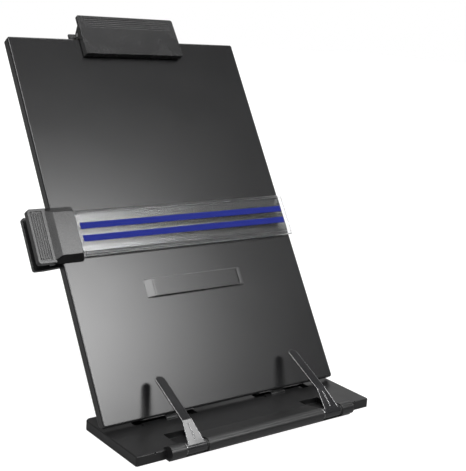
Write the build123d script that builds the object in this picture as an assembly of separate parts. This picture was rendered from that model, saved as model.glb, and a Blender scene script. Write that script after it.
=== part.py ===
from build123d import *
import math
import os

# Copy holder with line guide, millimetres.
# X runs to the reader's right, Y away from the reader, Z up.
# The desk is z = 0, x = 0 is the middle of the stand and y = 0 lies under the
# bottom front edge of the back plate at the stored lean.

# ---------------------------------------------------------------- driving sizes
LEAN = 32.8                # back plate, degrees back from upright at rest

PLATE_W = 218.0            # back plate, wide enough for a letter or A4 sheet
PLATE_H = 310.0
SHEET = 1.0                # steel sheet
FLANGE = 7.3               # depth of the folded side and top edges
BOTTOM_FLANGE = 5.0        # depth of the folded bottom edge
BEND_R = 1.2               # outer radius of the folded edges
CORNER_R = 2.0             # corners of the plate in front view
HEEL = 2.5                 # bevel on the lower back corner of each side flange

BAR_W = 92.6               # raised bar pressed into the plate below the line guide
BAR_LOW = 88.5
BAR_H = 14.0
BAR_RISE = 3.2
BAR_RAMP = 6.0             # length of the slope at each end
BAR_BEND = 3.0             # bend radius at the top of each slope

BASE_INSET = 0.25          # stand's sides inside the plate's sides
BASE_FRONT = -43.2
BASE_BACK = 29.3
BASE_T = 7.0
FOOT_PROUD = 0.5           # how far the rubber feet stand out below
BASE_BACK_R = 5.0
BASE_FRONT_R = 1.5
TONGUE_W = 76.0            # rear tongue with the notches
TONGUE_END = 134.0
TONGUE_R = 10.0
TOP_EDGE_R = 0.8
EDGE_NICK_X = 94.0         # small nick in the front edge beside each end cap
EDGE_NICK = 1.2
RIB = 2.0                  # walls between the pockets on the underside
SKIN = 2.0                 # top skin over those pockets

HINGE_Y = 4.7              # tilt axis of the plate
HINGE_RISE = 3.5           # tilt axis above the stand's top face
HINGE_UP = 2.0             # tilt axis above the plate's bottom edge, along the plate
HINGE_BACK = 4.3           # tilt axis behind the plate's front face
HINGE_PIN_R = 1.5
HINGE_IN = 28.8            # slot in the stand for one hinge, from x to x
HINGE_OUT = 82.7
HINGE_MID = 50.0           # middle of the lug that holds the pin
LUG_W = 13.4
LUG_R = 3.0
SLOT_FRONT = -1.2
SLOT_SILL = 2.6
SLOT_BACK = 12.5
SLOT_FLOOR = 3.5
NOTCH_IN = 38.5            # the sill runs between these two x
NOTCH_OUT = 76.0
CURL_INSET = 3.0           # hinge curls start this far inside the slot
LOBE_STEP = 0.8            # lug's front lobe, smaller than its eye

ROD_Y = -46.6              # rod that carries the page arms, in the rounded nose
ROD_Z = 6.3
ROD_R = 2.0
NOSE_R = 4.9
NOSE_INSET = 23.75         # nose's ends inside the stand's sides
RAIL_REAR = -30.2          # rear edge of the middle rail on the stand's top face
CAP_REAR = -39.5           # rear edge of the two end caps
RAIL_SEAT = 5.0
RAIL_LIP = 0.3             # how far the rail's rear edge stands above the stand
LIP_FRONT = -47.7          # front edge of the stand's lip below the nose
LIP_TOP = 1.6

ARM_X = 63.6               # middle of each page arm's hub
ARM_BAY_W = 19.2           # bay between the rail and the end cap
ARM_BAY_BACK = -21.0
ARM_BAY_FLOOR = 3.0
ARM_HUB_R = 4.1
ARM_T = 1.2
ARM_W = 7.7                # paddle width
ARM_FOOT_W = 13.4          # link width at the hub
ARM_SKEW = 2.1             # paddle's middle to the right of the hub's
LINK_RISE = 34.0           # degrees above level
LINK_LEN = 19.8
PADDLE_RISE = 26.3
PADDLE_LEN = 43.0
LINK_RIB_W = 1.4           # thin rib down the middle of the link
LINK_RIB_H = 0.35
LINK_RIB_SPAN = (0.15, 0.85)
WASHER_T = 0.8
WASHER_R = 4.2

STRUT_UP = 78.0            # strut pivot, up the plate from its bottom edge
STRUT_WIRE_R = 2.0
STRUT_LEN = 76.0
STRUT_W = 52.0             # between the centre lines of the two legs
STRUT_PIN = 12.0           # turned-out end of each leg
STRUT_BEND = 4.0
STRUT_LEAN = 30.29         # degrees from straight down, towards the back
SADDLE_X = 34.2            # middle of each saddle that holds the strut
SADDLE_W = 6.6
SADDLE_T = 0.8
SADDLE_FOOT = 5.0
NOTCHES = 7
NOTCH_PITCH = 11.0
NOTCH_R = 2.3
NOTCH_DEPTH = 0.5
NOTCHES_BELOW = 2          # notches in front of the one in use at rest

CLIP_W = 93.0              # top clip lever
CLIP_BELOW = 16.5          # reach of the lever below and above the plate's top edge
CLIP_ABOVE = 19.0
CLIP_OUT_LOW = 7.0         # front face above the plate at the lower edge
CLIP_OUT_HIGH = 5.0        # and at the upper edge
CLIP_WALL = 2.2
CLIP_LIP_H = 2.5
CLIP_PAD_T = 0.6
CLIP_CORNER_R = 2.0        # two upper corners of the lever
CLIP_GROOVES = 5
CLIP_GROOVE_ABOVE = 8.8    # lowest groove, above the plate's top edge
CLIP_GROOVE_PITCH = 1.85
CLIP_GROOVE_W = 0.9
CLIP_GROOVE_D = 0.5
CLIP_GROOVE_INSET = 5.0
CLIP_PIN_ABOVE = 4.5       # pivot of the lever, above the plate's top edge
CLIP_PIN_OUT = -1.5
CLIP_PIN_R = 1.5
CLIP_EYE_R = 3.2
HOUSING_BELOW = 25.0       # reach of the housing below and above the plate's top edge
HOUSING_ABOVE = 6.0
HOUSING_BACK = -15.5
HOUSING_WALL = 2.0
HOUSING_BEVEL = 3.0        # bevel round the housing's back
HOUSING_SLOPE = 6.0        # and its longer run at the lower side
FIN_ABOVE = 12.0           # rear thumb rest of the housing, above the plate's top edge
EAR_X = 39.5               # middle of each ear of the housing
EAR_T = 3.0
BOSS_X = 25.0
BOSS_BELOW = 10.0          # below the plate's top edge
BOSS_R = 4.5
RIVET_R = 2.0
RIVET_HEAD_R = 3.6
RIVET_HEAD_H = 1.2

GUIDE_UP = 143.6           # middle line of the ruler at rest, up the plate
GUIDE_REACH = 17.8         # slider's nose, in from the plate's left edge, at its base
NOSE_PROUD = 2.3           # outer end of the nose's front face, beyond that edge
NOSE_DOWN = 20.9           # nose below the middle line, at its base
NOSE_UP = 22.8             # and above it
NOSE_TOP = 7.4             # front face above the plate
NOSE_SLANT_DOWN = 4.5      # how much the three free sides slope in
NOSE_SLANT_UP = 6.0
NOSE_SLANT_IN = 3.0
NOSE_CORNER_R = 2.6
PAD_PROUD = 20.7           # thumb pad, from its outer to its inner end beyond that edge
PAD_START = 7.3
PAD_TOP = 4.0
PAD_T = 5.0
PAD_STEP = 0.7             # pad's front face above the foot of the slope beside it
PAD_CORNER_R = 2.0         # outer corners of both thumb pads
PAD_DOWN = 20.3            # thumb pad below and above the middle line
PAD_UP = 21.7
PAD_FRAME = 2.1            # rim round the ribbed field
PAD_FIELD_D = 0.7
PAD_RIBS = 5
PAD_RIB_W = 0.9
PAD_RIB_GAP = 1.2          # bare floor above and below the ribs
JAW_PIN_PROUD = 6.2        # pivot of the rear jaw, beyond that edge
JAW_PIN_OUT = -4.5
JAW_PIN_R = 1.5
JAW_HEAD_R = 2.3
JAW_HEAD_H = 1.0
JAW_EYE_R = 3.2
JAW_EAR_T = 4.0
FRONT_EAR = 16.5           # middle of the front jaw's ears, from the middle line
REAR_EAR = 11.5            # middle of the rear jaw's ears
REAR_REACH = 12.7          # rear jaw's lip, in from that edge
REAR_PAD_PROUD = 18.4
REAR_BACK = -15.0
REAR_H = 41.8
REAR_WALL = 3.0
REAR_LIP_T = 2.0           # thin end of the lip
REAR_KNEE = 6.0            # lip thickens from here to the pivot
REAR_KNEE_T = 5.0

RULER_H = 35.8             # clear ruler
RULER_PROUD = 0.9          # ruler's end beyond the plate's right edge
RULER_TOP = 5.9
RULER_T = 1.2
RULER_WALL = 1.4           # slanted rim, measured along the plate
RULER_SKIRT = 2.3          # how far the slanted rim comes back to the plate
RULER_SLANT = 2.7
RULER_TONGUE = 12.0
RULER_TONGUE_H = 29.6
RULER_CORNER_R = 2.0
STRIPE_W = 5.0
STRIPE_GAP = 5.0
STRIPE_T = 0.15
STRIPE_SHORT = 6.0         # stripes' end inside the plate's right edge

SCREW_R = 1.5
SCREW_HEAD_R = 2.8
SCREW_HEAD_H = 1.6
RECESS_L = 3.2             # cross or slot in a screw's head
RECESS_W = 0.8
RECESS_D = 0.7
RAIL_SCREWS = (-44.0, -15.0, 15.0, 44.0)
RAIL_SCREW_Y = -36.5
FOOT_R = 6.0
FOOT_T = 1.5

SPRING_WIRE_R = 0.45
SPRING_R = 2.55            # to the wire's centre line
SPRING_PITCH = 1.45
CLIP_SPRING_SWEEP = 1155.0  # degrees from one leg to the other
CLIP_SPRING_TURN = 165.0
CLIP_SPRING_LEGS = (5.5, 5.0)
GUIDE_SPRING_SWEEP = 1440.0
GUIDE_SPRING_LEGS = (4.6, 2.8)

PIN_GAP = 0.05             # radial running clearance on a pin
FIT = 0.3                  # clearance between pieces that move apart
SEAT_GAP = 0.1             # clearance between pieces of one body

# ------------------------------------------------------------- worked-out sizes
EDGE = PLATE_W / 2
BASE_W = PLATE_W - 2 * BASE_INSET
NOSE_X = BASE_W / 2 - NOSE_INSET
CLIP_LOW = PLATE_H - CLIP_BELOW
CLIP_HIGH = PLATE_H + CLIP_ABOVE
CLIP_GROOVE_LOW = PLATE_H + CLIP_GROOVE_ABOVE
CLIP_PIN_UP = PLATE_H + CLIP_PIN_ABOVE
HOUSING_LOW = PLATE_H - HOUSING_BELOW
HOUSING_HIGH = PLATE_H + HOUSING_ABOVE
FIN_HIGH = PLATE_H + FIN_ABOVE
BOSS_UP = PLATE_H - BOSS_BELOW
GUIDE_IN = GUIDE_REACH - EDGE
NOSE_OUT = -EDGE - NOSE_PROUD
PAD_OUT = -EDGE - PAD_PROUD
PAD_IN = -EDGE - PAD_START
JAW_PIN_X = -EDGE - JAW_PIN_PROUD
REAR_IN = REAR_REACH - EDGE
REAR_PAD_OUT = -EDGE - REAR_PAD_PROUD
RULER_END = EDGE + RULER_PROUD
STRIPE_END = EDGE - STRIPE_SHORT
BASE_LOW = FOOT_PROUD
BASE_TOP = FOOT_PROUD + BASE_T
HINGE_Z = BASE_TOP + HINGE_RISE
UP = (0.0, math.sin(math.radians(LEAN)), math.cos(math.radians(LEAN)))
OUT = (0.0, -math.cos(math.radians(LEAN)), math.sin(math.radians(LEAN)))
PLATE_Y = HINGE_Y - HINGE_UP * UP[1] + HINGE_BACK * OUT[1]
PLATE_Z = HINGE_Z - HINGE_UP * UP[2] + HINGE_BACK * OUT[2]
# On the plate's own frame x is across, y is up the plate and z is out of its face.
PLATE = Plane(origin=(0, PLATE_Y, PLATE_Z), x_dir=(1, 0, 0), z_dir=OUT).location
STRUT_OUT = -(SHEET + FIT + STRUT_WIRE_R)
STRUT_Y = PLATE_Y + STRUT_UP * UP[1] + STRUT_OUT * OUT[1]
STRUT_Z = PLATE_Z + STRUT_UP * UP[2] + STRUT_OUT * OUT[2]
STRUT_FOOT_Y = STRUT_Y + STRUT_LEN * math.sin(math.radians(STRUT_LEAN))


# ----------------------------------------------------------------- small helpers
def block(x0, x1, y0, y1, z0, z1):
    """Box from corner to corner."""
    return Pos((x0 + x1) / 2, (y0 + y1) / 2, (z0 + z1) / 2) * Box(x1 - x0, y1 - y0, z1 - z0)


def prism_x(points, x0, x1):
    """Outline given as (y, z) points, run along X from x0 to x1."""
    outline = Plane.YZ.offset(x0) * Polygon(*points, align=None)
    return extrude(outline, amount=x1 - x0, dir=(1, 0, 0))


def prism_y(points, y0, y1):
    """Outline given as (x, z) points, run along Y from y0 to y1."""
    side = Plane(origin=(0, y0, 0), x_dir=(1, 0, 0), z_dir=(0, -1, 0))
    return extrude(side * Polygon(*points, align=None), amount=y1 - y0, dir=(0, 1, 0))


def rod_x(radius, x0, x1, y, z):
    """Round bar along X."""
    return Pos((x0 + x1) / 2, y, z) * Rot(0, 90, 0) * Cylinder(radius, x1 - x0)


def rod_y(radius, x, y0, y1, z):
    """Round bar along Y."""
    return Pos(x, (y0 + y1) / 2, z) * Rot(90, 0, 0) * Cylinder(radius, y1 - y0)


def rod_z(radius, x, y, z0, z1):
    """Round bar along Z."""
    return Pos(x, y, (z0 + z1) / 2) * Cylinder(radius, z1 - z0)


def edges_at(shape, axis, value):
    """Edges that lie in the plane where the given coordinate has this value."""
    return [edge for edge in shape.edges()
            if abs(getattr(edge.bounding_box().min, axis) - value) < 1e-4
            and abs(getattr(edge.bounding_box().max, axis) - value) < 1e-4]


def side_edges(shape, direction, chosen):
    """Straight edges along a direction whose middle satisfies the test."""
    return [edge for edge in shape.edges().filter_by(direction) if chosen(edge.center())]


def tangent_point(centre, radius, outside, turn):
    """Where a line from a point outside touches a circle; turn is +1 or -1."""
    dy = outside[0] - centre[0]
    dz = outside[1] - centre[1]
    angle = math.atan2(dz, dy) + turn * math.acos(radius / math.hypot(dy, dz))
    return (centre[0] + radius * math.cos(angle), centre[1] + radius * math.sin(angle))


def biarc(p0, t0, p1, t1):
    """Two arcs that meet smoothly and join two points along two given tangents."""
    chord = p1 - p0
    both = t0 + t1
    spread = 2 * (1 - t0.dot(t1))
    along = chord.dot(both)
    reach = (-along + math.sqrt(along * along + spread * chord.dot(chord))) / spread
    middle = (p0 + t0 * reach + p1 - t1 * reach) * 0.5
    first = Edge.make_tangent_arc(p0, t0, middle)
    second = Edge.make_tangent_arc(middle, (p1 - t1 * reach - middle).normalized(), p1)
    return [first, second]


def torsion_spring(sweep_deg, first_leg, last_leg):
    """Coil round the X axis with a straight leg at each end, swept as one wire."""
    turns = sweep_deg / 360
    rise = SPRING_PITCH / (2 * math.pi)
    steep = math.hypot(SPRING_R, rise)

    def spot(angle):
        return Vector(rise * angle - SPRING_PITCH * turns / 2,
                      SPRING_R * math.cos(angle), SPRING_R * math.sin(angle))

    def way(angle):
        return Vector(rise, -SPRING_R * math.sin(angle), SPRING_R * math.cos(angle)) / steep

    arcs = math.ceil(sweep_deg / 180)
    step = math.radians(sweep_deg) / arcs
    end = step * arcs
    first = spot(0) - way(0) * first_leg
    edges = [Edge.make_line(first, spot(0))]
    for i in range(arcs):
        edges += biarc(spot(i * step), way(i * step), spot((i + 1) * step), way((i + 1) * step))
    edges.append(Edge.make_line(spot(end), spot(end) + way(end) * last_leg))
    path = Wire(edges)
    print("spring: least gap between turns", round(least_gap(path, SPRING_WIRE_R), 2), "mm")
    return sweep(Plane(origin=first, z_dir=way(0)) * Circle(SPRING_WIRE_R), path=path)


def least_gap(path, wire_r):
    """Smallest gap between stretches of a wire that lie half a turn or more apart."""
    count = 240
    apart = math.ceil(count * math.pi * SPRING_R / path.length)
    spots = [path.position_at(i / count) for i in range(count + 1)]
    least = path.length
    for i, here in enumerate(spots):
        for there in spots[i + apart:]:
            least = min(least, (there - here).length)
    return least - 2 * wire_r


# ------------------------------------------------------------------------- stand
def nose_outline(rear_y):
    """Teardrop section: the round nose and the tangent from its rear edge."""
    centre = (ROD_Y, ROD_Z)
    rear = (rear_y, BASE_TOP + RAIL_LIP)
    crest = tangent_point(centre, NOSE_R, rear, 1)
    return [rear, crest, centre, (BASE_FRONT, LIP_TOP), (BASE_FRONT, RAIL_SEAT), (rear_y, RAIL_SEAT)]


def nose_piece(x0, x1, rear_y):
    """Rail or end cap of the nose over the rod, flat where it sits on the lip."""
    body = prism_x(nose_outline(rear_y), x0, x1)
    body += rod_x(NOSE_R, x0, x1, ROD_Y, ROD_Z)
    body -= block(x0 - 1, x1 + 1, ROD_Y - 2 * NOSE_R, BASE_FRONT, -NOSE_R, LIP_TOP)
    body -= block(x0 - 1, x1 + 1, BASE_FRONT, rear_y, -NOSE_R, RAIL_SEAT)
    return body


def base_outline():
    """Plan of the stand: front bar with a tongue to the rear."""
    bar = block(-BASE_W / 2, BASE_W / 2, BASE_FRONT, BASE_BACK, BASE_LOW, BASE_TOP)
    bar = fillet(side_edges(bar, Axis.Z, lambda c: c.Y > 0), BASE_BACK_R)
    bar = fillet(side_edges(bar, Axis.Z, lambda c: c.Y < BASE_FRONT + 0.1), BASE_FRONT_R)
    tongue = block(-TONGUE_W / 2, TONGUE_W / 2, 0, TONGUE_END, BASE_LOW, BASE_TOP)
    tongue = fillet(side_edges(tongue, Axis.Z, lambda c: c.Y > BASE_BACK), TONGUE_R)
    body = bar + tongue
    inner = side_edges(body, Axis.Z,
                       lambda c: abs(c.Y - BASE_BACK) < 0.1 and abs(abs(c.X) - TONGUE_W / 2) < 0.1)
    body = fillet(inner, BASE_BACK_R)
    return fillet(edges_at(body, "Z", BASE_TOP), TOP_EDGE_R)


def underside_pockets():
    """Open cells between the ribs below the stand, clear of slots, bays and feet."""
    cells = []
    low = BASE_LOW - 1
    high = BASE_TOP - SKIN
    front_row = (ARM_BAY_BACK + RIB, SLOT_FRONT - RIB)
    columns = 10
    reach = NOTCH_OUT + RIB
    step = 2 * reach / columns
    for i in range(columns):
        x0 = -reach + i * step
        cells.append(block(x0 + RIB / 2, x0 + step - RIB / 2, front_row[0], front_row[1], low, high))
    for side in (-1, 1):
        x0, x1 = sorted((side * (NOSE_X + RIB), side * (BASE_W / 2 - RIB)))
        cells.append(block(x0, x1, BASE_FRONT + 7 * RIB, ARM_BAY_BACK, low, high))
        cells.append(block(x0, x1, ARM_BAY_BACK + RIB, SLOT_FRONT - RIB, low, high))
    rows = 4
    first = SLOT_BACK + RIB
    last = TONGUE_END - 8 * RIB
    deep = (last - first) / rows
    across = TONGUE_W - 2 * RIB
    for row in range(rows):
        for col in range(3):
            x0 = -across / 2 + col * across / 3
            y0 = first + row * deep
            cells.append(block(x0 + RIB / 2, x0 + across / 3 - RIB / 2,
                               y0 + RIB / 2, y0 + deep - RIB / 2, low, BASE_TOP - SKIN - NOTCH_DEPTH))
    return cells


def foot_places():
    """Centres of the rubber feet: corners, middle and end of the tongue."""
    side = BASE_W / 2 - FOOT_R - 2 * RIB
    front = BASE_FRONT + FOOT_R + RIB / 2
    back = BASE_BACK - FOOT_R - 2 * RIB
    end = TONGUE_END - FOOT_R - RIB / 2
    inner = TONGUE_W / 2 - FOOT_R - 3 * RIB
    return [(-side, front), (side, front), (-side, back), (side, back), (0, 0),
            (-inner, end), (inner, end)]


def hinge_slot(side):
    """Slot for one hinge: two deep notches with a sill of the top face between."""
    floor = SLOT_FLOOR
    top = BASE_TOP + 1
    xs = sorted((side * HINGE_IN, side * HINGE_OUT))
    slot = block(xs[0], xs[1], SLOT_SILL, SLOT_BACK, floor, top)
    for x0, x1 in ((HINGE_IN, NOTCH_IN), (NOTCH_OUT, HINGE_OUT)):
        xs = sorted((side * x0, side * x1))
        slot += block(xs[0], xs[1], SLOT_FRONT, SLOT_SILL + 1, floor, top)
    return slot


def hinge_lug(side):
    """Post with a round eye for the hinge pin and a rounded lobe in front of it."""
    x0 = side * HINGE_MID - LUG_W / 2
    x1 = side * HINGE_MID + LUG_W / 2
    lug = rod_x(LUG_R, x0, x1, HINGE_Y, HINGE_Z)
    lug += block(x0, x1, HINGE_Y - LUG_R, HINGE_Y + LUG_R, SLOT_FLOOR, HINGE_Z)
    lobe_r = LUG_R - LOBE_STEP
    lug += rod_x(lobe_r, x0, x1, lobe_r + SLOT_FRONT, BASE_TOP - 0.1)
    lug += block(x0, x1, SLOT_FRONT, HINGE_Y, SLOT_FLOOR, BASE_TOP - 0.1)
    return lug - rod_x(HINGE_PIN_R + SEAT_GAP / 2, x0 - 1, x1 + 1, HINGE_Y, HINGE_Z)


def base_body():
    """Moulded stand with seats for the nose, bays, hinge slots, notches and ribs."""
    body = base_outline()
    for cell in underside_pockets():
        body -= cell
    lip = block(-NOSE_X, NOSE_X, LIP_FRONT, BASE_FRONT + 1, BASE_LOW, LIP_TOP)
    body += fillet(edges_at(lip, "Y", LIP_FRONT), 0.4)
    bay_in = ARM_X - ARM_BAY_W / 2
    bay_out = ARM_X + ARM_BAY_W / 2
    above = BASE_TOP + 1
    body -= block(-bay_in, bay_in, BASE_FRONT - 1, RAIL_REAR, RAIL_SEAT, above)
    for side in (-1, 1):
        xs = sorted((side * bay_out, side * NOSE_X))
        body -= block(xs[0], xs[1], BASE_FRONT - 1, CAP_REAR, RAIL_SEAT, above)
        xs = sorted((side * bay_in, side * bay_out))
        body -= block(xs[0], xs[1], BASE_FRONT - 1, ARM_BAY_BACK, ARM_BAY_FLOOR, above)
        body -= hinge_slot(side)
        body += hinge_lug(side)
    for i in range(NOTCHES):
        y = STRUT_FOOT_Y + (i - NOTCHES_BELOW) * NOTCH_PITCH
        z = BASE_TOP - NOTCH_DEPTH + NOTCH_R
        body -= rod_x(NOTCH_R, -STRUT_W / 2 - 5, STRUT_W / 2 + 5, y, z)
    for x, y in foot_places():
        body -= rod_z(FOOT_R, x, y, BASE_LOW - 1, FOOT_T)
    for side in (-1, 1):
        x = side * EDGE_NICK_X
        body -= block(x - EDGE_NICK / 2, x + EDGE_NICK / 2, BASE_FRONT - 1, BASE_FRONT + EDGE_NICK,
                      BASE_TOP - EDGE_NICK, above)
    for x in RAIL_SCREWS:
        body -= rod_z(SCREW_R + SEAT_GAP, x, RAIL_SCREW_Y, 0, above)
        body -= rod_z(SCREW_HEAD_R + SEAT_GAP, x, RAIL_SCREW_Y, 0, BASE_LOW + SCREW_HEAD_H)
    return body


def front_rail():
    """Middle rail of the nose, between the two arm bays."""
    half = ARM_X - ARM_BAY_W / 2
    rail = nose_piece(-half, half, RAIL_REAR)
    rail -= rod_x(ROD_R + PIN_GAP, -half - 1, half + 1, ROD_Y, ROD_Z)
    for x in RAIL_SCREWS:
        rail -= rod_z(SCREW_R + PIN_GAP, x, RAIL_SCREW_Y, 0, RAIL_SEAT + 2.6)
    return rail


def nose_cap(side):
    """End cap of the nose, outside the arm bay, with a blind hole for the rod."""
    inner = ARM_X + ARM_BAY_W / 2
    xs = sorted((side * inner, side * NOSE_X))
    hole = sorted((side * (inner - 1), side * (NOSE_X - RIB + SEAT_GAP)))
    return nose_piece(xs[0], xs[1], CAP_REAR) - rod_x(ROD_R + PIN_GAP, hole[0], hole[1], ROD_Y, ROD_Z)


def rubber_feet():
    """Round rubber feet set into the underside."""
    low = [rod_z(FOOT_R - SEAT_GAP, x, y, 0, FOOT_T) for x, y in foot_places()]
    return [fillet(edges_at(foot, "Z", 0), FOOT_PROUD * 0.6) for foot in low]


def rail_screws():
    """Screws that hold the rail from below."""
    screws = []
    for x in RAIL_SCREWS:
        head = rod_z(SCREW_HEAD_R, x, RAIL_SCREW_Y, BASE_LOW + 0.2, BASE_LOW + SCREW_HEAD_H)
        shank = rod_z(SCREW_R, x, RAIL_SCREW_Y, BASE_LOW + SCREW_HEAD_H, RAIL_SEAT + 2.5)
        recess = Pos(x, RAIL_SCREW_Y, BASE_LOW + 0.2 + RECESS_D / 2)
        head -= recess * Box(RECESS_L, RECESS_W, RECESS_D)
        head -= recess * Box(RECESS_W, RECESS_L, RECESS_D)
        screws.append(head + shank)
    return screws


def hinge_pins():
    """One steel pin through each lug and the plate's two curls beside it."""
    inner = HINGE_IN + 1.2
    outer = HINGE_OUT - 1.2
    return [rod_x(HINGE_PIN_R, *sorted((side * inner, side * outer)), HINGE_Y, HINGE_Z)
            for side in (-1, 1)]


def arm_rod():
    """Steel rod along the nose that both page arms turn on."""
    return rod_x(ROD_R, -NOSE_X + RIB, NOSE_X - RIB, ROD_Y, ROD_Z)


# --------------------------------------------------------------------- page arms
def page_arm(side):
    """Hub, ridged link that narrows upwards, and a flat paddle with a round tip."""
    x = side * ARM_X
    rise = math.radians(LINK_RISE)
    along = (math.cos(rise), math.sin(rise))
    normal = (-along[1], along[0])
    start = (ROD_Y + ARM_HUB_R * normal[0], ROD_Z + ARM_HUB_R * normal[1])
    turn = math.radians(PADDLE_RISE)
    bend = (start[0] + LINK_LEN * along[0], start[1] + LINK_LEN * along[1])

    # Link, drawn on its own face: local x is across, local y runs up the link.
    face = Plane(origin=(x, start[0], start[1]), x_dir=(1, 0, 0), z_dir=(0, normal[0], normal[1]))
    link = Polygon((-ARM_FOOT_W / 2, 0), (ARM_FOOT_W / 2, 0), (ARM_SKEW + ARM_W / 2, LINK_LEN),
                   (ARM_SKEW - ARM_W / 2, LINK_LEN), align=None)
    body = extrude(face * link, amount=-ARM_T)
    body += link_rib(face)

    # Paddle: its face starts at the bend and runs on at its own slope.
    way = (math.cos(turn), math.sin(turn))
    flat = Plane(origin=(x + ARM_SKEW, bend[0], bend[1]), x_dir=(1, 0, 0), z_dir=(0, -way[1], way[0]))
    length = PADDLE_LEN - ARM_W / 2
    paddle = Pos(0, length / 2) * Rectangle(ARM_W, length)
    paddle += Pos(0, length) * Circle(ARM_W / 2)
    body += extrude(flat * paddle, amount=-ARM_T)

    half = ARM_BAY_W / 2 - FIT - WASHER_T - SEAT_GAP
    body += rod_x(ARM_HUB_R, x - half, x + half, ROD_Y, ROD_Z)
    return body - rod_x(ROD_R + PIN_GAP, x - half - 1, x + half + 1, ROD_Y, ROD_Z)


def link_rib(face):
    """Thin rib on the link's face, along its middle line."""
    ends = []
    for part in LINK_RIB_SPAN:
        middle = part * ARM_SKEW
        section = Polygon((middle - LINK_RIB_W / 2, -0.3), (middle + LINK_RIB_W / 2, -0.3),
                          (middle, LINK_RIB_H), align=None)
        ends.append(Plane(origin=face.from_local_coords((0, part * LINK_LEN, 0)), x_dir=(1, 0, 0),
                          z_dir=-face.y_dir) * section)
    return loft(ends, ruled=True)


def arm_washers():
    """Washers that brake each hub against the walls of its bay."""
    washers = []
    for side in (-1, 1):
        for end in (-1, 1):
            wall = side * ARM_X + end * (ARM_BAY_W / 2 - SEAT_GAP)
            xs = sorted((wall, wall - end * WASHER_T))
            ring = rod_x(WASHER_R, xs[0], xs[1], ROD_Y, ROD_Z)
            washers.append(ring - rod_x(ROD_R + PIN_GAP, xs[0] - 1, xs[1] + 1, ROD_Y, ROD_Z))
    return washers


# -------------------------------------------------------------------- back plate
def plate_shell():
    """Pressed tray: flat face with the edges folded back."""
    outer = block(-PLATE_W / 2, PLATE_W / 2, 0, PLATE_H, -FLANGE, 0)
    outer = fillet(outer.edges().filter_by(Axis.Z), CORNER_R)
    outer = fillet(edges_at(outer, "Z", 0), BEND_R)
    inner = block(-PLATE_W / 2 + SHEET, PLATE_W / 2 - SHEET, SHEET, PLATE_H - SHEET,
                  -FLANGE - 1, -SHEET)
    inner = fillet(inner.edges().filter_by(Axis.Z), CORNER_R - SHEET)
    shell = outer - inner
    shell -= block(-PLATE_W / 2 + 2 * SHEET, PLATE_W / 2 - 2 * SHEET, -1, SHEET + 0.1,
                   -FLANGE - 1, -BOTTOM_FLANGE)
    heel = [(-1, -FLANGE - 1), (HEEL + 1, -FLANGE - 1), (HEEL, -FLANGE), (-1, -FLANGE + HEEL + 1)]
    return shell - prism_x(heel, -PLATE_W, PLATE_W)


def bar_outline(inset, foot):
    """Front outline of the raised bar, moved in by a sheet's thickness where asked."""
    half = BAR_W / 2 - inset
    top = BAR_RISE - inset
    return [(-half, foot), (-half, -inset), (BAR_RAMP - half, top), (half - BAR_RAMP, top),
            (half, -inset), (half, foot)]


def raised_bar(inset, foot):
    """Solid under the bar's face: square long sides, ends that slope and bend softly."""
    body = prism_y(bar_outline(inset, foot), BAR_LOW + inset, BAR_LOW + BAR_H - inset)
    bends = [edge for edge in body.edges().filter_by(Axis.Y)
             if edge.center().Z > BAR_RISE - inset - 0.01]
    return fillet(bends, BAR_BEND - inset)


def hinge_curl(x0, x1):
    """Tab of the plate's bottom edge, curled round the hinge pin."""
    outer = HINGE_PIN_R + PIN_GAP + SHEET
    curl = rod_x(outer, x0, x1, HINGE_UP, -HINGE_BACK)
    curl += block(x0, x1, HINGE_UP - outer, HINGE_UP - outer + SHEET, -HINGE_BACK, -BEND_R)
    return curl


def back_plate():
    """Steel back plate with its raised bar, hinge curls and rivet holes."""
    plate = plate_shell() + raised_bar(0, -SHEET)
    plate -= raised_bar(SHEET, -SHEET - 1)
    for side in (-1, 1):
        x0 = side * HINGE_MID - LUG_W / 2 - FIT
        x1 = side * HINGE_MID + LUG_W / 2 + FIT
        plate -= block(x0, x1, -1, HINGE_UP + LUG_R + 1, -FLANGE - 1, -SHEET)
        for a, b in ((HINGE_IN + CURL_INSET, HINGE_MID - LUG_W / 2 - FIT),
                     (HINGE_MID + LUG_W / 2 + FIT, NOTCH_OUT)):
            xs = sorted((side * a, side * b))
            plate += hinge_curl(xs[0], xs[1])
        xs = sorted((side * HINGE_IN, side * HINGE_OUT))
        plate -= rod_x(HINGE_PIN_R + PIN_GAP, xs[0], xs[1], HINGE_UP, -HINGE_BACK)
        plate -= rod_z(RIVET_R + SEAT_GAP, side * BOSS_X, BOSS_UP, -SHEET - 1, 1)
    return PLATE * plate


def strut_saddles():
    """Pressed saddles welded to the back of the plate over the strut's two ends."""
    saddles = []
    inner = STRUT_WIRE_R + PIN_GAP
    outer = inner + SADDLE_T
    face = -SHEET
    for side in (-1, 1):
        x0 = side * SADDLE_X - SADDLE_W / 2
        x1 = side * SADDLE_X + SADDLE_W / 2
        body = rod_x(outer, x0, x1, STRUT_UP, STRUT_OUT)
        body += block(x0, x1, STRUT_UP - outer, STRUT_UP + outer, STRUT_OUT, face)
        body += block(x0, x1, STRUT_UP - outer - SADDLE_FOOT, STRUT_UP + outer + SADDLE_FOOT,
                      face - SADDLE_T, face)
        body -= rod_x(inner, x0 - 1, x1 + 1, STRUT_UP, STRUT_OUT)
        body -= block(x0 - 1, x1 + 1, STRUT_UP - inner, STRUT_UP + inner, STRUT_OUT, face + 1)
        saddles.append(PLATE * body)
    return saddles


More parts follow.
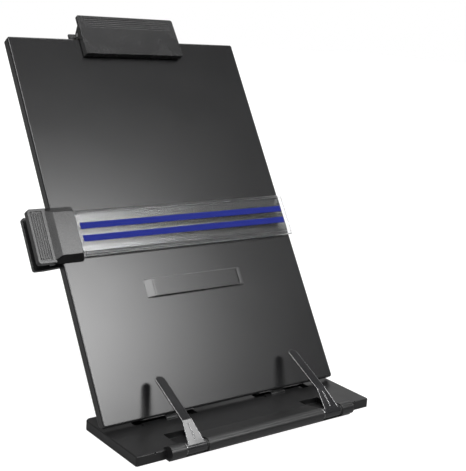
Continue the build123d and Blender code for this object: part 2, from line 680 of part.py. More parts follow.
def strut_wire():
    """Bent wire strut: two turned-out ends, two legs and a foot bar."""
    lean = math.radians(STRUT_LEAN)
    down = (math.sin(lean), -math.cos(lean))
    foot_y = STRUT_Y + STRUT_LEN * down[0]
    foot_z = STRUT_Z + STRUT_LEN * down[1]
    half = STRUT_W / 2
    points = [(-half - STRUT_PIN, STRUT_Y, STRUT_Z), (-half, STRUT_Y, STRUT_Z),
              (-half, foot_y, foot_z), (half, foot_y, foot_z), (half, STRUT_Y, STRUT_Z),
              (half + STRUT_PIN, STRUT_Y, STRUT_Z)]
    path = FilletPolyline(*points, radius=STRUT_BEND)
    section = Plane(origin=points[0], z_dir=(1, 0, 0)) * Circle(STRUT_WIRE_R)
    return sweep(section, path=path)


# ---------------------------------------------------------------------- top clip
def clip_housing():
    """Rear housing of the top clip: open box, two ears for the pin, two bosses."""
    half = CLIP_W / 2
    front = -FLANGE - FIT
    back = HOUSING_BACK
    wall = HOUSING_WALL
    cut = HOUSING_BEVEL
    outline = [(HOUSING_LOW, front), (HOUSING_LOW + wall, back + cut),
               (HOUSING_LOW + HOUSING_SLOPE, back), (HOUSING_HIGH - cut, back),
               (HOUSING_HIGH, back + cut), (HOUSING_HIGH, front)]
    hollow = [(HOUSING_LOW + wall, front + 1), (HOUSING_LOW + 2 * wall, back + cut + wall / 2),
              (HOUSING_LOW + HOUSING_SLOPE + wall / 2, back + wall),
              (HOUSING_HIGH - cut - wall / 2, back + wall),
              (HOUSING_HIGH - wall, back + cut + wall / 2), (HOUSING_HIGH - wall, front + 1)]
    body = prism_x(outline, -half, half) - prism_x(hollow, -half + wall, half - wall)
    root = HOUSING_HIGH - 2 * cut
    fin = [(root, back), (FIN_HIGH, back), (FIN_HIGH, back + wall),
           (HOUSING_HIGH, back + 2 * wall), (root, back + wall)]
    body += prism_x(fin, -half, half)
    for side in (-1, 1):
        x0 = side * EAR_X - EAR_T / 2
        x1 = side * EAR_X + EAR_T / 2
        low = PLATE_H + FIT
        ear = block(x0, x1, low, CLIP_PIN_UP + CLIP_EYE_R, back + wall / 2, CLIP_PIN_OUT)
        ear += rod_x(CLIP_EYE_R, x0, x1, CLIP_PIN_UP, CLIP_PIN_OUT)
        ear += block(x0, x1, low, CLIP_PIN_UP, CLIP_PIN_OUT, CLIP_PIN_OUT + CLIP_EYE_R)
        body += ear
        body -= rod_x(CLIP_PIN_R + SEAT_GAP / 2, x0 - 1, x1 + 1, CLIP_PIN_UP, CLIP_PIN_OUT)
        body += rod_z(BOSS_R, side * BOSS_X, BOSS_UP, back + wall / 2, -SHEET)
        body -= rod_z(RIVET_R + SEAT_GAP / 2, side * BOSS_X, BOSS_UP, back + 3 * wall, 0)
    return PLATE * body


def clip_rivets():
    """Rivets from the plate's face into the housing's bosses, under the lever."""
    rivets = []
    for side in (-1, 1):
        head = rod_z(RIVET_HEAD_R, side * BOSS_X, BOSS_UP, 0, RIVET_HEAD_H)
        head = fillet(edges_at(head, "Z", RIVET_HEAD_H), RIVET_HEAD_H * 0.7)
        shank = rod_z(RIVET_R, side * BOSS_X, BOSS_UP, -FLANGE, 0)
        rivets.append(PLATE * (head + shank))
    return rivets


def clip_lever():
    """Front lever: sloping wall with a lip below, cheeks round the pin and grooves."""
    half = CLIP_W / 2
    lip = FIT + CLIP_PAD_T
    wall = CLIP_WALL
    top_in = CLIP_OUT_HIGH - wall
    cheek = [(CLIP_LOW, lip), (CLIP_LOW, CLIP_OUT_LOW), (CLIP_HIGH, CLIP_OUT_HIGH),
             (CLIP_HIGH, top_in), (CLIP_PIN_UP + CLIP_EYE_R + 3, top_in),
             (CLIP_PIN_UP + CLIP_EYE_R, CLIP_PIN_OUT), (CLIP_PIN_UP + 1, CLIP_PIN_OUT - CLIP_EYE_R),
             (PLATE_H + 4 * FIT, CLIP_PIN_OUT - CLIP_EYE_R + 1), (PLATE_H + 2 * FIT, CLIP_PIN_OUT),
             (PLATE_H + 2 * FIT, lip)]
    slope = [(CLIP_LOW + CLIP_LIP_H, 0), (CLIP_LOW + CLIP_LIP_H, CLIP_OUT_LOW - wall),
             (CLIP_HIGH + 1, top_in), (CLIP_HIGH + 1, -2 * FLANGE), (CLIP_LOW + CLIP_LIP_H, -2 * FLANGE)]
    body = prism_x(cheek, -half, half) - prism_x(slope, -half + wall, half - wall)
    body = fillet(top_corners(body), CLIP_CORNER_R)
    body -= rod_x(CLIP_PIN_R + PIN_GAP, -half - 1, half + 1, CLIP_PIN_UP, CLIP_PIN_OUT)
    tilt = (CLIP_OUT_HIGH - CLIP_OUT_LOW) / (CLIP_HIGH - CLIP_LOW)
    for i in range(CLIP_GROOVES):
        v = CLIP_GROOVE_LOW + i * CLIP_GROOVE_PITCH
        face = CLIP_OUT_LOW + tilt * (v - CLIP_LOW)
        body -= block(-half + CLIP_GROOVE_INSET, half - CLIP_GROOVE_INSET,
                      v - CLIP_GROOVE_W / 2, v + CLIP_GROOVE_W / 2, face - CLIP_GROOVE_D, face + 1)
    return PLATE * body


def top_corners(body):
    """The short edges at the lever's two upper corners."""
    half = CLIP_W / 2
    found = []
    for edge in body.edges():
        box = edge.bounding_box()
        if box.min.Y > CLIP_HIGH - 0.01 and abs(abs(edge.center().X) - half) < 0.01:
            found.append(edge)
    return found


def clip_pad():
    """Rubber strip on the lever's lip that grips the paper."""
    half = CLIP_W / 2 - CLIP_WALL
    return PLATE * block(-half, half, CLIP_LOW + 0.2, CLIP_LOW + CLIP_LIP_H - 0.2, FIT, FIT + CLIP_PAD_T)


def clip_pin():
    """Steel pin through the lever's cheeks and the housing's ears."""
    half = CLIP_W / 2 - 0.2
    return PLATE * rod_x(CLIP_PIN_R, -half, half, CLIP_PIN_UP, CLIP_PIN_OUT)


def clip_spring():
    """Torsion spring round the clip's pin."""
    coil = torsion_spring(CLIP_SPRING_SWEEP, *CLIP_SPRING_LEGS)
    return PLATE * Pos(0, CLIP_PIN_UP, CLIP_PIN_OUT) * Rot(CLIP_SPRING_TURN, 0, 0) * Rot(0, 180, 0) * coil


# -------------------------------------------------------------------- line guide
def guide_nose():
    """Block that rides over the plate's face and takes the ruler's tongue."""
    low = GUIDE_UP - NOSE_DOWN
    high = GUIDE_UP + NOSE_UP
    side = [(low, FIT), (low + NOSE_SLANT_DOWN, NOSE_TOP), (high - NOSE_SLANT_UP, NOSE_TOP),
            (high, FIT)]
    body = prism_x(side, PAD_IN, GUIDE_IN)
    top_in = GUIDE_IN - NOSE_SLANT_IN
    front = NOSE_TOP + 1
    inner = [(GUIDE_IN, FIT), (top_in, NOSE_TOP), (top_in, front), (GUIDE_IN + 1, front),
             (GUIDE_IN + 1, FIT)]
    body -= prism_y(inner, low - 1, high + 1)
    body = fillet(nose_corners(body), NOSE_CORNER_R)
    outer = [(PAD_IN - 1, front), (PAD_IN - 1, PAD_TOP - PAD_STEP), (PAD_IN, PAD_TOP),
             (NOSE_OUT, NOSE_TOP), (NOSE_OUT, front)]
    body -= prism_y(outer, low - 1, high + 1)
    half = RULER_TONGUE_H / 2 + SEAT_GAP
    return body - block(GUIDE_IN - RULER_TONGUE - SEAT_GAP, GUIDE_IN + 1, GUIDE_UP - half,
                        GUIDE_UP + half, RULER_TOP - RULER_T - SEAT_GAP, RULER_TOP + SEAT_GAP)


def nose_corners(body):
    """The two sloping edges at the inner end of the nose."""
    found = []
    for edge in body.edges():
        box = edge.bounding_box()
        if box.min.X > GUIDE_IN - NOSE_SLANT_IN - 0.01 and box.size.Z > NOSE_TOP * 0.8:
            found.append(edge)
    return found


def thumb_pad():
    """Front thumb pad with a sunk field and upright ribs."""
    low = GUIDE_UP - PAD_DOWN
    high = GUIDE_UP + PAD_UP
    pad = block(PAD_OUT, PAD_IN + 1, low, high, PAD_TOP - PAD_T, PAD_TOP)
    pad = fillet(side_edges(pad, Axis.Z, lambda c: c.X < PAD_OUT + 1), PAD_CORNER_R)
    x0 = PAD_OUT + PAD_FRAME
    x1 = PAD_IN - PAD_FRAME
    low += PAD_FRAME
    high -= PAD_FRAME
    floor = PAD_TOP - PAD_FIELD_D
    pad -= block(x0, x1, low, high, floor, PAD_TOP + 1)
    pitch = (x1 - x0) / PAD_RIBS
    for i in range(PAD_RIBS):
        x = x0 + (i + 0.5) * pitch
        pad += block(x - PAD_RIB_W / 2, x + PAD_RIB_W / 2, low + PAD_RIB_GAP, high - PAD_RIB_GAP,
                     floor, PAD_TOP - 0.1)
    return pad


def jaw_eyes(offset, reach_out):
    """Pair of eyes round the jaw pin, joined to the jaw at the height given."""
    eyes = None
    for side in (-1, 1):
        y0 = GUIDE_UP + side * offset - JAW_EAR_T / 2
        y1 = y0 + JAW_EAR_T
        eye = rod_y(JAW_EYE_R, JAW_PIN_X, y0, y1, JAW_PIN_OUT)
        zs = sorted((JAW_PIN_OUT, reach_out))
        eye += block(JAW_PIN_X - JAW_EYE_R, JAW_PIN_X + JAW_EYE_R, y0, y1, zs[0], zs[1])
        eyes = eye if eyes is None else eyes + eye
    return eyes


def jaw_bore(clearance):
    """Bore for the jaw pin over the slider's whole height."""
    half = NOSE_UP + 1
    return rod_y(JAW_PIN_R + clearance, JAW_PIN_X, GUIDE_UP - half, GUIDE_UP + half, JAW_PIN_OUT)


def tongue_screw_spots():
    """Where the two screws pass through the nose and the ruler's tongue."""
    x = GUIDE_IN - RULER_TONGUE / 2
    return [(x, GUIDE_UP + side * RULER_TONGUE_H / 4) for side in (-1, 1)]


def guide_front_jaw():
    """Front jaw of the slider: nose, thumb pad and pivot eyes in one moulding."""
    body = guide_nose() + thumb_pad() + jaw_eyes(FRONT_EAR, FIT + 0.5)
    body -= jaw_bore(SEAT_GAP / 2)
    for x, y in tongue_screw_spots():
        body -= rod_z(SCREW_R + SEAT_GAP / 2, x, y, 0, RULER_TOP)
        body -= rod_z(SCREW_HEAD_R + SEAT_GAP, x, y, 0, FIT + SCREW_HEAD_H)
    return PLATE * body


def guide_rear_jaw():
    """Rear jaw: lip behind the plate's edge, pivot eyes and rear thumb pad."""
    lip = -FLANGE - FIT
    back = REAR_BACK
    front = back + REAR_WALL
    knee = JAW_PIN_X + REAR_KNEE
    step = REAR_KNEE / 2
    outline = [(REAR_IN, lip), (REAR_IN, lip - REAR_LIP_T), (knee, lip - REAR_KNEE_T),
               (JAW_PIN_X - step, back), (REAR_PAD_OUT, back), (REAR_PAD_OUT, front),
               (JAW_PIN_X - step - 1, front + 1), (JAW_PIN_X + step + 1, lip - 0.8), (knee, lip)]
    body = prism_y(outline, GUIDE_UP - REAR_H / 2, GUIDE_UP + REAR_H / 2)
    outer = side_edges(body, Axis.Z, lambda c: c.X < REAR_PAD_OUT + 0.01)
    body = fillet(outer, PAD_CORNER_R)
    body += jaw_eyes(REAR_EAR, front + 1)
    return PLATE * (body - jaw_bore(PIN_GAP))


def guide_pin():
    """Steel pin with a flat head that joins the two jaws."""
    low = GUIDE_UP - FRONT_EAR - JAW_EAR_T / 2
    high = GUIDE_UP + FRONT_EAR + JAW_EAR_T / 2 + 0.6
    pin = rod_y(JAW_PIN_R, JAW_PIN_X, low, high, JAW_PIN_OUT)
    return PLATE * (pin + rod_y(JAW_HEAD_R, JAW_PIN_X, low - JAW_HEAD_H, low, JAW_PIN_OUT))


def guide_spring():
    """Torsion spring round the jaw pin."""
    coil = torsion_spring(GUIDE_SPRING_SWEEP, *GUIDE_SPRING_LEGS)
    return PLATE * Pos(JAW_PIN_X, GUIDE_UP, JAW_PIN_OUT) * Rot(0, 0, 90) * coil


def ruler_body(inset, top, foot):
    """Flat box with slanted rim on three sides, from the nose to the free end."""
    low = GUIDE_UP - RULER_H / 2 + inset
    high = GUIDE_UP + RULER_H / 2 - inset
    end = RULER_END - inset
    lean = RULER_SLANT / RULER_SKIRT
    rise = top - (RULER_TOP - RULER_SKIRT)
    drop = foot - (RULER_TOP - RULER_SKIRT)
    side = [(low + lean * drop, foot), (low + lean * rise, top), (high - lean * rise, top),
            (high - lean * drop, foot)]
    body = prism_x(side, GUIDE_IN + SEAT_GAP, end - lean * drop)
    cut = [(end - lean * drop, foot), (end - lean * rise, top), (end + RULER_SLANT, top),
           (end + RULER_SLANT, foot)]
    return body - prism_y(cut, low - RULER_SLANT, high + RULER_SLANT)


def line_ruler():
    """Clear ruler: flat web with a slanted rim and a tongue into the nose."""
    foot = RULER_TOP - RULER_SKIRT
    under = RULER_TOP - RULER_T
    body = ruler_body(0, RULER_TOP, foot)
    corners = [edge for edge in body.edges()
               if edge.center().X > RULER_END - RULER_SLANT and edge.bounding_box().size.Z > 1
               and edge.bounding_box().size.X > 1]
    body = fillet(corners, RULER_CORNER_R)
    body -= ruler_body(RULER_WALL, under, foot - 1)
    half = RULER_TONGUE_H / 2
    body += block(GUIDE_IN - RULER_TONGUE, GUIDE_IN + 1, GUIDE_UP - half, GUIDE_UP + half,
                  under, RULER_TOP)
    for x, y in tongue_screw_spots():
        body -= rod_z(SCREW_R + SEAT_GAP, x, y, 0, RULER_TOP + 1)
    return PLATE * body


def ruler_stripes():
    """Two printed guide lines on the front of the ruler's web."""
    stripes = []
    for side in (-1, 1):
        middle = GUIDE_UP + side * (STRIPE_GAP / 2 + STRIPE_W / 2)
        stripes.append(PLATE * block(GUIDE_IN + 2 * SEAT_GAP, STRIPE_END, middle - STRIPE_W / 2,
                                     middle + STRIPE_W / 2, RULER_TOP, RULER_TOP + STRIPE_T))
    return stripes


def ruler_screws():
    """Short screws from the nose's underside into the ruler's tongue."""
    screws = []
    for x, y in tongue_screw_spots():
        head = rod_z(SCREW_HEAD_R, x, y, FIT + 0.1, FIT + SCREW_HEAD_H)
        shank = rod_z(SCREW_R, x, y, FIT + SCREW_HEAD_H, RULER_TOP - 0.1)
        head -= Pos(x, y, FIT + 0.1) * Box(2 * SCREW_HEAD_R, RECESS_W, RECESS_D)
        screws.append(PLATE * (head + shank))
    return screws


# ------------------------------------------------------------------------ output
def save(name, shape):
    """Write one node: a solid, or a list of separate solids."""
    if isinstance(shape, (list, tuple)):
        solids = [solid for item in shape for solid in item.solids()]
        shape = Compound(solids)
    shape.label = name
    export_step(shape, os.path.join("parts", name + ".step"))


def main():
    """Build every node and write it to parts/."""
    os.makedirs("parts", exist_ok=True)
    nodes = {
        "base_body": base_body(),
        "front_rail": front_rail(),
        "nose_cap_left": nose_cap(-1),
        "nose_cap_right": nose_cap(1),
        "rail_screws": rail_screws(),
        "rubber_feet": rubber_feet(),
        "hinge_pins": hinge_pins(),
        "arm_rod": arm_rod(),
        "arm_washers": arm_washers(),
        "page_arm_left": page_arm(-1),
        "page_arm_right": page_arm(1),
        "back_plate": back_plate(),
        "strut_saddles": strut_saddles(),
        "strut_wire": strut_wire(),
        "clip_housing": clip_housing(),
        "clip_rivets": clip_rivets(),
        "clip_lever": clip_lever(),
        "clip_pad": clip_pad(),
        "clip_pin": clip_pin(),
        "clip_spring": clip_spring(),
        "guide_front_jaw": guide_front_jaw(),
        "guide_rear_jaw": guide_rear_jaw(),
        "guide_pin": guide_pin(),
        "guide_spring": guide_spring(),
        "line_ruler": line_ruler(),
        "ruler_stripes": ruler_stripes(),
        "ruler_screws": ruler_screws(),
    }
    for name, shape in nodes.items():
        save(name, shape)
    print("strut foot at y", round(STRUT_FOOT_Y, 2), "plate edge at", round(PLATE_Y, 3), round(PLATE_Z, 3))


main()
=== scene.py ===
import bpy
import numpy as np
from bpy.props import FloatProperty, FloatVectorProperty, PointerProperty
from mathutils import Matrix, Vector


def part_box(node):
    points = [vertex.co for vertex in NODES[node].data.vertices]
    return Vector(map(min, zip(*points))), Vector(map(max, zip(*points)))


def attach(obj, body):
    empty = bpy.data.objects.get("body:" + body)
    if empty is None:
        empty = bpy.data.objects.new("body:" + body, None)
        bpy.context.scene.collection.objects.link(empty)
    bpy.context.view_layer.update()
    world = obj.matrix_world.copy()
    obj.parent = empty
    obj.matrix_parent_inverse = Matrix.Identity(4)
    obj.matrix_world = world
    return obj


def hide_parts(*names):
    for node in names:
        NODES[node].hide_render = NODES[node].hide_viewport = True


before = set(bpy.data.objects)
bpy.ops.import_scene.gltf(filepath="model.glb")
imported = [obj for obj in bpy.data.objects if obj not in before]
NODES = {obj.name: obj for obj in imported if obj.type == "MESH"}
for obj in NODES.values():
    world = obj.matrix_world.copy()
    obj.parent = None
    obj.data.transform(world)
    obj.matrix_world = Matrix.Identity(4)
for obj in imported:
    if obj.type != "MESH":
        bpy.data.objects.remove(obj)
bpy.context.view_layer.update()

bl_info = {
    "name": "Copy Holder with Line Guide",
    "version": (1, 0, 0),
    "blender": (4, 5, 0),
    "location": "View3D > Sidebar > Copy Holder",
    "description": "Finishes, small fittings and studio for a copy holder "
                   "with a sliding line guide",
    "category": "Object",
}

# Colours that more than one step uses, linear with full alpha.
DUST = (0.3, 0.29, 0.28, 1.0)
DUST_ON_PAINT = (0.3, 0.3, 0.3, 1.0)
BARE_STEEL = (0.5, 0.5, 0.5, 1.0)
WHITE = (1.0, 1.0, 1.0, 1.0)

# Rubber feet: middle of each on the desk, then radii and heights of one in metres.
FEET = ((-0.09875, -0.0362), (0.09875, -0.0362), (-0.09875, 0.0193), (0.09875, 0.0193),
        (0.0, 0.0), (-0.026, 0.127), (0.026, 0.127))
FOOT_R = 0.0059
FOOT_CORNER_R = 0.0004
FOOT_TOP_BEVEL = 0.0001
FOOT_TOP_R = 0.003
SOLE_R = 0.0046
SOLE_DISH = 0.0003
SOLE_RINGS = 3
SOLE_RING_RISE = 0.0002
SOLE_RIM = (0.0048, 0.00002)

# Grip strip on the clip's lip, in metres.
GRIP_WIDTH = 0.0021
GRIP_THICKNESS = 0.0006
GRIP_RIB_DEPTH = 0.00022

# Softboxes: azimuth from straight in front towards the right, elevation, width, height and
# softness of the sides, all in degrees, and brightness against the softbox setting.
SOFTBOXES = (
    (26.7, 39.4, 21.2, 10.4, 11.0, 1.96),
    (81.0, 60.0, 11.0, 10.0, 5.0, 1.1),
    (-32.0, 49.0, 27.0, 30.0, 8.0, 1.0),
    (102.0, 12.0, 16.0, 12.0, 6.0, 0.5),
    (-106.0, 60.0, 24.0, 22.0, 8.0, 0.4),
    (180.0, 60.0, 70.0, 30.0, 15.0, 0.1),
    (127.0, 22.0, 30.0, 24.0, 6.0, 0.06),
)

# Even fill straight overhead, against the fill setting.
FILL_OVERHEAD = 2.2

# Floor: darkest and palest fibre, and the lift that the camera and clear plastic see.
FLOOR_TONES = (0.28, 0.32)
FLOOR_LIFT = 0.84

# Camera: place, and its right, down and forward directions.
CAMERA_PLACE = Vector((-0.44330, -0.55837, 0.30266))
CAMERA_TURN = ((0.79456481, -0.60367266, 0.06516199),
               (-0.08345462, -0.21487998, -0.9730683),
               (0.60141673, 0.76772776, -0.22111534))
CAMERA_FRAME_MM = 36.0


# ------------------------------------------------------------------- node wiring
class Wiring:
    """One shader node tree, with short ways to add a node and to join sockets."""

    def __init__(self, tree):
        self.tree = tree

    def add(self, kind, *values, **named):
        """Adds a node; values go to its inputs in order, named ones to its settings or inputs.

        A value that is a socket is linked, any other is set on the input itself."""
        node = self.tree.nodes.new("ShaderNode" + kind)
        for key, value in named.items():
            if hasattr(node, key):
                setattr(node, key, value)
        for index, value in enumerate(values):
            self.put(node.inputs[index], value)
        for key, value in named.items():
            if not hasattr(node, key):
                self.put(node.inputs[key.replace("_", " ")], value)
        return node

    def put(self, socket, value):
        """Links a socket to an output, or sets its value."""
        if isinstance(value, bpy.types.NodeSocket):
            self.tree.links.new(value, socket)
        elif value is not None:
            socket.default_value = value

    def math(self, operation, *values):
        """Output of a Math node."""
        return self.add("Math", *values, operation=operation).outputs[0]

    def dot(self, vector, direction):
        """Output of a Vector Math node: how far a vector goes along a direction."""
        node = self.add("VectorMath", vector, direction, operation="DOT_PRODUCT")
        return node.outputs["Value"]

    def ramp(self, value, low, high, to_low=0.0, to_high=1.0):
        """Value taken from the range low..high to the range to_low..to_high, smoothly."""
        node = self.add("MapRange", value, low, high, to_low, to_high,
                        interpolation_type="SMOOTHSTEP")
        return node.outputs[0]

    def mix(self, factor, first, second):
        """Output of a colour Mix node."""
        node = self.add("Mix", data_type="RGBA")
        self.put(node.inputs[0], factor)
        self.put(node.inputs[6], first)
        self.put(node.inputs[7], second)
        return node.outputs[2]


def shade(colour, factor=1.0, lift=0.0):
    """Colour with full alpha, times a factor and plus a lift."""
    return (*(min(1.0, c * factor + lift) for c in colour), 1.0)


def effect(name, sockets_in, sockets_out):
    """New shader node group with named float or vector sockets, and its wiring."""
    tree = bpy.data.node_groups.new(name, "ShaderNodeTree")
    for label, value in sockets_in.items():
        kind = "NodeSocketFloat" if isinstance(value, float) else "NodeSocketVector"
        socket = tree.interface.new_socket(label, in_out="INPUT", socket_type=kind)
        socket.default_value = value
    for label, kind in sockets_out.items():
        tree.interface.new_socket(label, in_out="OUTPUT", socket_type=kind)
    wires = Wiring(tree)
    entry = tree.nodes.new("NodeGroupInput")
    leave = tree.nodes.new("NodeGroupOutput")
    return wires, entry.outputs, leave.inputs


def make_rounded_edges():
    """Edges: the normal turned as if each edge had a small radius, and a mask along them."""
    wires, given, out = effect("rounded_edges", {"Radius": 0.0005},
                               {"Normal": "NodeSocketVector", "Edge": "NodeSocketFloat"})
    bevel = wires.add("Bevel", given["Radius"], samples=6)
    flat = wires.add("NewGeometry")
    same = wires.dot(bevel.outputs[0], flat.outputs["Normal"])
    wires.put(out["Normal"], bevel.outputs[0])
    wires.put(out["Edge"], wires.ramp(same, 0.995, 0.82))


def make_moulded_grain():
    """Grain: fine spark-eroded texture of a mould, as a height and a tone from 0 to 1."""
    wires, given, out = effect("moulded_grain", {"Grain": 0.0004},
                               {"Height": "NodeSocketFloat", "Tone": "NodeSocketFloat"})
    place = wires.add("TexCoord").outputs["Object"]
    rate = wires.math("DIVIDE", 1.0, given["Grain"])
    fine = wires.add("TexNoise", place, Scale=rate, Detail=3.0, Roughness=0.6)
    pits = wires.add("TexVoronoi", place, Scale=wires.math("MULTIPLY", rate, 0.8),
                     feature="SMOOTH_F1", Smoothness=0.6)
    both = wires.math("ADD", fine.outputs[0], wires.math("MULTIPLY", pits.outputs[0], 0.5))
    wires.put(out["Height"], both)
    wires.put(out["Tone"], wires.ramp(fine.outputs[0], 0.3, 0.7))


def make_handling():
    """Handling: broad soft patches of wear and touch, from 0 to 1."""
    wires, given, out = effect("handling", {"Patch": 0.04}, {"Mask": "NodeSocketFloat"})
    place = wires.add("TexCoord").outputs["Object"]
    rate = wires.math("DIVIDE", 1.0, given["Patch"])
    broad = wires.add("TexNoise", place, Scale=rate, Detail=4.0, Roughness=0.55,
                      Distortion=0.6)
    wires.put(out["Mask"], wires.ramp(broad.outputs[0], 0.35, 0.7))


def make_settled_dust():
    """Dust: a faint speckled film on faces that look up, from 0 to 1."""
    wires, given, out = effect("settled_dust", {"Speck": 0.0009}, {"Mask": "NodeSocketFloat"})
    place = wires.add("TexCoord").outputs["Object"]
    rate = wires.math("DIVIDE", 1.0, given["Speck"])
    specks = wires.add("TexNoise", place, Scale=rate, Detail=2.0)
    drift = wires.add("TexNoise", place, Scale=22.0, Detail=3.0)
    up = wires.add("SeparateXYZ", wires.add("NewGeometry").outputs["Normal"]).outputs[2]
    film = wires.math("MULTIPLY", wires.ramp(up, 0.2, 1.0), wires.ramp(drift.outputs[0], 0.3, 0.7))
    wires.put(out["Mask"], wires.math("MULTIPLY", film, wires.ramp(specks.outputs[0], 0.45, 0.75)))


def make_drawn_lines():
    """Drawn lines: streaks along one direction, as drawing or brushing leaves on metal."""
    wires, given, out = effect("drawn_lines", {"Squeeze": (900.0, 12.0, 12.0)},
                               {"Height": "NodeSocketFloat", "Tone": "NodeSocketFloat"})
    place = wires.add("TexCoord").outputs["Object"]
    squeezed = wires.add("VectorMath", place, given["Squeeze"], operation="MULTIPLY")
    lines = wires.add("TexNoise", squeezed.outputs[0], Scale=1.0, Detail=4.0, Roughness=0.6)
    wires.put(out["Height"], lines.outputs[0])
    wires.put(out["Tone"], wires.ramp(lines.outputs[0], 0.3, 0.7))


EFFECTS = {
    "rounded_edges": make_rounded_edges,
    "moulded_grain": make_moulded_grain,
    "handling": make_handling,
    "settled_dust": make_settled_dust,
    "drawn_lines": make_drawn_lines,
}


class Finish:
    """A material being made: its wiring, its Principled shader and placed effects."""

    def __init__(self, name):
        self.material = bpy.data.materials.new(name)
        self.material.use_nodes = True
        self.wires = Wiring(self.material.node_tree)
        self.shader = self.material.node_tree.nodes["Principled BSDF"]

    def effect(self, name, **values):
        """Places a shared effect with its own values and returns its outputs."""
        if name not in bpy.data.node_groups:
            EFFECTS[name]()
        node = self.wires.tree.nodes.new("ShaderNodeGroup")
        node.node_tree = bpy.data.node_groups[name]
        for key, value in values.items():
            self.wires.put(node.inputs[key], value)
        return node.outputs

    def set(self, socket, value):
        """Sets or links one socket of the shader."""
        self.wires.put(self.shader.inputs[socket], value)

    def bump(self, height, depth, normal=None):
        """Bump of a height field with its depth in metres; feeds the shader's normal."""
        node = self.wires.add("Bump", Strength=1.0, Distance=depth, Height=height)
        self.wires.put(node.inputs["Normal"], normal)
        self.set("Normal", node.outputs[0])

    def dress(self, *names):
        """Puts the material on carried-over nodes."""
        for name in names:
            for place in NODES[name].material_slots:
                place.material = self.material


def moulded_plastic(name, colour, roughness, grain=0.0004, grain_depth=0.00002,
                    edge=0.0005, edge_wear_and_highlight=0.012, dust=0.06, level=0.5):
    """Moulded plastic: grained, paler along its edges for wear and as a painted edge highlight,
    with dust on upward faces.
    """
    made = Finish(name)
    w = made.wires
    edges = made.effect("rounded_edges", Radius=edge)
    grains = made.effect("moulded_grain", Grain=grain)
    touch = made.effect("handling", Patch=0.05)["Mask"]
    dusty = made.effect("settled_dust")["Mask"]
    speckled = w.mix(grains["Tone"], shade(colour, 0.85), shade(colour, 1.15))
    # Edges made paler by a lift: partly wear, partly a painted highlight along the edges.
    worn_and_highlit = w.mix(edges["Edge"], speckled, shade(colour, lift=edge_wear_and_highlight))
    made.set("Base Color", w.mix(w.math("MULTIPLY", dusty, dust), worn_and_highlit, DUST))
    smooth = w.ramp(touch, 0.0, 1.0, roughness + 0.03, roughness - 0.03)
    made.set("Roughness", w.math("ADD", smooth, w.math("MULTIPLY", grains["Tone"], 0.03)))
    made.set("Specular IOR Level", level)
    made.bump(grains["Height"], grain_depth, edges["Normal"])
    return made


def drawn_metal(name, colour, roughness, squeeze):
    """Bare or plated metal with drawing lines and soft patches of handling."""
    made = Finish(name)
    w = made.wires
    edges = made.effect("rounded_edges", Radius=0.0003)
    lines = made.effect("drawn_lines", Squeeze=squeeze)
    touch = made.effect("handling", Patch=0.02)["Mask"]
    toned = w.mix(lines["Tone"], shade(colour, 0.86), shade(colour, 1.1))
    made.set("Base Color", w.mix(w.math("MULTIPLY", touch, 0.3), toned, shade(colour, 0.8)))
    made.set("Metallic", 1.0)
    made.set("Roughness", w.ramp(touch, 0.0, 1.0, roughness, roughness + 0.06))
    made.bump(lines["Height"], 0.000004, edges["Normal"])
    return made


# ------------------------------------------------------------------------ shapes
def skin(rows, columns):
    """Faces of a tube of rows by columns points, and of the fans that close its two ends
    on the two points after them."""
    here = np.arange(rows * columns).reshape(rows, columns)
    after = np.roll(here, -1, axis=1)
    sides = np.stack((here[:-1], after[:-1], after[1:], here[1:]), axis=-1).reshape(-1, 4)
    first = np.stack((np.full(columns, here.size), after[0], here[0]), axis=-1)
    last = np.stack((np.full(columns, here.size + 1), here[-1], after[-1]), axis=-1)
    return sides, first, last


def turned(centres, radii, heights, steps=48):
    """Turned pieces: the point at angle a and place i is a centre plus radius(i) times
    (cos a, sin a) and height(i); the first and last places are poles on the axis."""
    angles = np.linspace(0.0, 2.0 * np.pi, steps, endpoint=False)
    rings = np.stack((np.outer(radii[1:-1], np.cos(angles)), np.outer(radii[1:-1], np.sin(angles)),
                      np.repeat(heights[1:-1, None], steps, axis=1)), axis=-1)
    poles = np.array(((0.0, 0.0, heights[0]), (0.0, 0.0, heights[-1])))
    points = np.concatenate((rings.reshape(-1, 3), poles))
    shift = (np.arange(len(centres)) * len(points))[:, None, None]
    placed = (np.asarray(centres)[:, None, :] + points).reshape(-1, 3)
    return placed, [(part + shift).reshape(-1, part.shape[1])
                    for part in skin(len(radii) - 2, steps)]


def ribbed_strip(centre, along, across, outward, size, ribs, notches, depth):
    """Strip of a given length, width and thickness. Its back is flat; its face stands at
    minus half the thickness plus depth times (1 + cos(2 pi ribs t)) / 2 for t from 0 to 1
    across, and the ribs are lower by half where the notches cross them."""
    length, width, thick = size
    t = np.linspace(0.0, 1.0, 12 * ribs + 1)
    x = np.linspace(-0.5, 0.5, 12 * notches + 1)
    wave = 0.5 + 0.5 * np.cos(2.0 * np.pi * ribs * t)
    cut = 0.5 * np.cos(np.pi * notches * (x + 0.5)) ** 12
    valley = 1.0 - (1.0 - wave[None, :]) * (1.0 - cut[:, None])
    face = depth * valley - thick / 2
    back = np.full((len(x), 2), thick / 2)
    out = np.concatenate((face, back), axis=1)
    up = np.concatenate((t - 0.5, (0.5, -0.5))) * width
    grid = (x[:, None, None] * length * along + up[None, :, None] * across
            + out[:, :, None] * outward)
    ends = np.stack((-0.5 * length * along, 0.5 * length * along)) + thick / 4 * outward
    return np.concatenate((grid.reshape(-1, 3), ends)) + centre, skin(*out.shape)


def new_piece(name, shape, body, node, finish):
    """Makes a piece of worked-out points and faces, which stands for a carried-over node."""
    points, faces = shape
    mesh = bpy.data.meshes.new(name)
    mesh.from_pydata(points.tolist(), [], [face for part in faces for face in part.tolist()])
    mesh.polygons.foreach_set("use_smooth", np.full(len(mesh.polygons), True))
    mesh.materials.append(finish.material)
    mesh.validate()
    piece = bpy.data.objects.new(name, mesh)
    bpy.context.scene.collection.objects.link(piece)
    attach(piece, body)
    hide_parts(node)
    return piece


